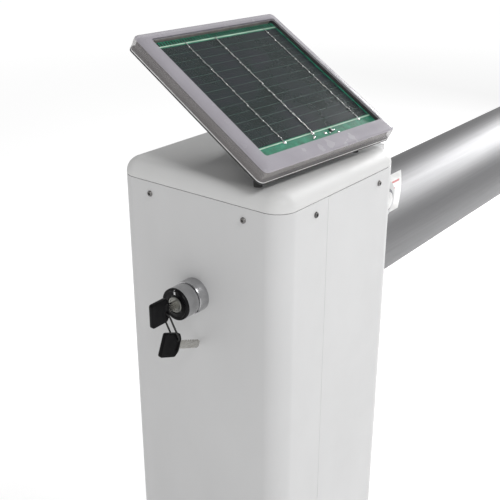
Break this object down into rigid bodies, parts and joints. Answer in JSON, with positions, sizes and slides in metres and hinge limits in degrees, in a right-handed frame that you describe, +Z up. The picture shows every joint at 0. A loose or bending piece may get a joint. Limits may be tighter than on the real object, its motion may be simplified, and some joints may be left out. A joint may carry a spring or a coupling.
{
  "type": "parking barrier gate",
  "caption": "Square steel column with a lifting round boom hinged behind it, a key-operated release on its front cover and a tilting solar panel on its lid.",
  "frame": {"origin": "centre of the underside of the base plate", "axes": "+Z up along the column, +Y from the lock side towards the boom, +X to the right as seen facing the lock"},
  "size_m": [0.28, 2.7855, 1.1331],
  "materials": {
    "galvanised": "dull zinc",
    "painted_shell": "light grey powder coat, satin",
    "rubber": "matt",
    "screw_steel": "dark, satin",
    "zinc_fasteners": "bright zinc",
    "bright_steel": "turned",
    "spring_steel": "oiled, dark",
    "cast_aluminium": "as cast",
    "motor_paint": "semi-gloss",
    "black_plastic": "fine grain",
    "battery_case": "moulded",
    "grey_plastic": "moulded",
    "gear_steel": "cut and greased",
    "bronze": "turned",
    "boom_aluminium": "satin anodised, drawn lengthwise",
    "chrome": "polished",
    "key_steel": "nickel plated",
    "key_plastic": "semi-gloss black",
    "clear_housing": "clear plastic",
    "circuit_board": "green solder mask",
    "solar_cell": "dark blue-black silicon"
  },
  "bodies": {
    "column": {"base_plate": "galvanised", "rear_body": "painted_shell", "lid": "painted_shell", "lid_gasket": "rubber", "lid_screws": "screw_steel", "pivot_bracket": "painted_shell", "pivot_bracket_bolts": "zinc_fasteners", "pivot_shaft": "bright_steel", "shaft_clips": "spring_steel", "pivot_cover": "painted_shell", "stop_buffers": "rubber", "torsion_spring_left": "spring_steel", "torsion_spring_right": "spring_steel", "chassis_plate": "galvanised", "chassis_screws": "zinc_fasteners", "gearbox_housing": "cast_aluminium", "gearbox_cover": "cast_aluminium", "gearbox_screws": "zinc_fasteners", "motor_can": "motor_paint", "motor_end_cap": "black_plastic", "bearing_block": "cast_aluminium", "limit_switches": "black_plastic", "battery_tray": "galvanised", "battery": "battery_case", "controller_box": "grey_plastic", "controller_cover": "grey_plastic", "release_bracket": "galvanised", "swivel_bolt": "zinc_fasteners"},
    "boom": {"boom_hub": "galvanised", "boom_gear": "gear_steel", "boom_gear_bolts": "zinc_fasteners", "pivot_bushes": "bronze", "boom_tube": "boom_aluminium", "boom_screws": "zinc_fasteners", "boom_end_cap": "black_plastic"},
    "output": {"output_shaft": "bright_steel", "output_pinion": "gear_steel"},
    "cover": {"front_cover": "painted_shell", "cover_screws": "screw_steel", "lock_ring": "chrome", "lock_barrel": "chrome", "lock_face": "black_plastic", "lock_nut": "zinc_fasteners"},
    "plug": {"lock_plug": "bright_steel"},
    "key": {"key_blade": "key_steel", "key_head": "key_plastic"},
    "spare_key": {"key_loop": "key_plastic", "spare_key_blade": "key_steel", "spare_key_head": "key_plastic"},
    "release": {"release_shaft": "bright_steel"},
    "clutch": {"clutch_lever": "gear_steel"},
    "yoke": {"swivel_yoke": "galvanised", "tilt_bolt": "black_plastic"},
    "panel": {"panel_bracket": "galvanised", "panel_tray": "black_plastic", "panel_cover": "clear_housing", "solar_board": "circuit_board", "solar_cells": "solar_cell", "panel_feet": "rubber"}
  },
  "joints": [
    {"name": "boom_lift", "type": "hinge", "parent": "column", "child": "boom", "pos_m": [0, 0.13, 0.944], "axis": [1, 0, 0], "range_deg": [0, 88], "deforming": ["torsion_spring_left", "torsion_spring_right"]},
    {"name": "output_spin", "type": "hinge", "parent": "column", "child": "output", "pos_m": [0, 0.06882, 0.91547], "axis": [1, 0, 0], "range_deg": [-180, 4]},
    {"name": "cover_off", "type": "slide", "parent": "column", "child": "cover", "axis": [0, -1, 0], "range_m": [0, 0.15]},
    {"name": "lock_turn", "type": "hinge", "parent": "cover", "child": "plug", "pos_m": [-0.002, -0.12, 0.898], "axis": [0, 1, 0], "range_deg": [0, 90]},
    {"name": "key_out", "type": "slide", "parent": "plug", "child": "key", "axis": [0, -1, 0], "range_m": [0, 0.03]},
    {"name": "spare_swing", "type": "hinge", "parent": "key", "child": "spare_key", "pos_m": [-0.002, -0.1425, 0.8934], "axis": [1, 0, 0], "range_deg": [-50, 0]},
    {"name": "release_turn", "type": "hinge", "parent": "column", "child": "release", "pos_m": [-0.002, -0.03, 0.898], "axis": [0, 1, 0], "range_deg": [-5, 95]},
    {"name": "clutch_swing", "type": "hinge", "parent": "column", "child": "clutch", "pos_m": [0.026, 0.015, 0.936], "axis": [0, 1, 0], "range_deg": [-12, 1]},
    {"name": "panel_swivel", "type": "hinge", "parent": "column", "child": "yoke", "pos_m": [0, 0.003, 1.02], "axis": [0, 0, 1], "range_deg": [-40, 40]},
    {"name": "panel_tilt", "type": "hinge", "parent": "yoke", "child": "panel", "pos_m": [-0.00897, 0.00372, 1.05641], "axis": [0.0802, 0.9968, 0], "range_deg": [-25, 0]}
  ],
  "couplings": [
    {"joint": "output_spin", "follows": "boom_lift", "ratio": -2},
    {"joint": "release_turn", "follows": "lock_turn", "ratio": 1},
    {"joint": "clutch_swing", "follows": "lock_turn", "ratio": -0.11}
  ]
}
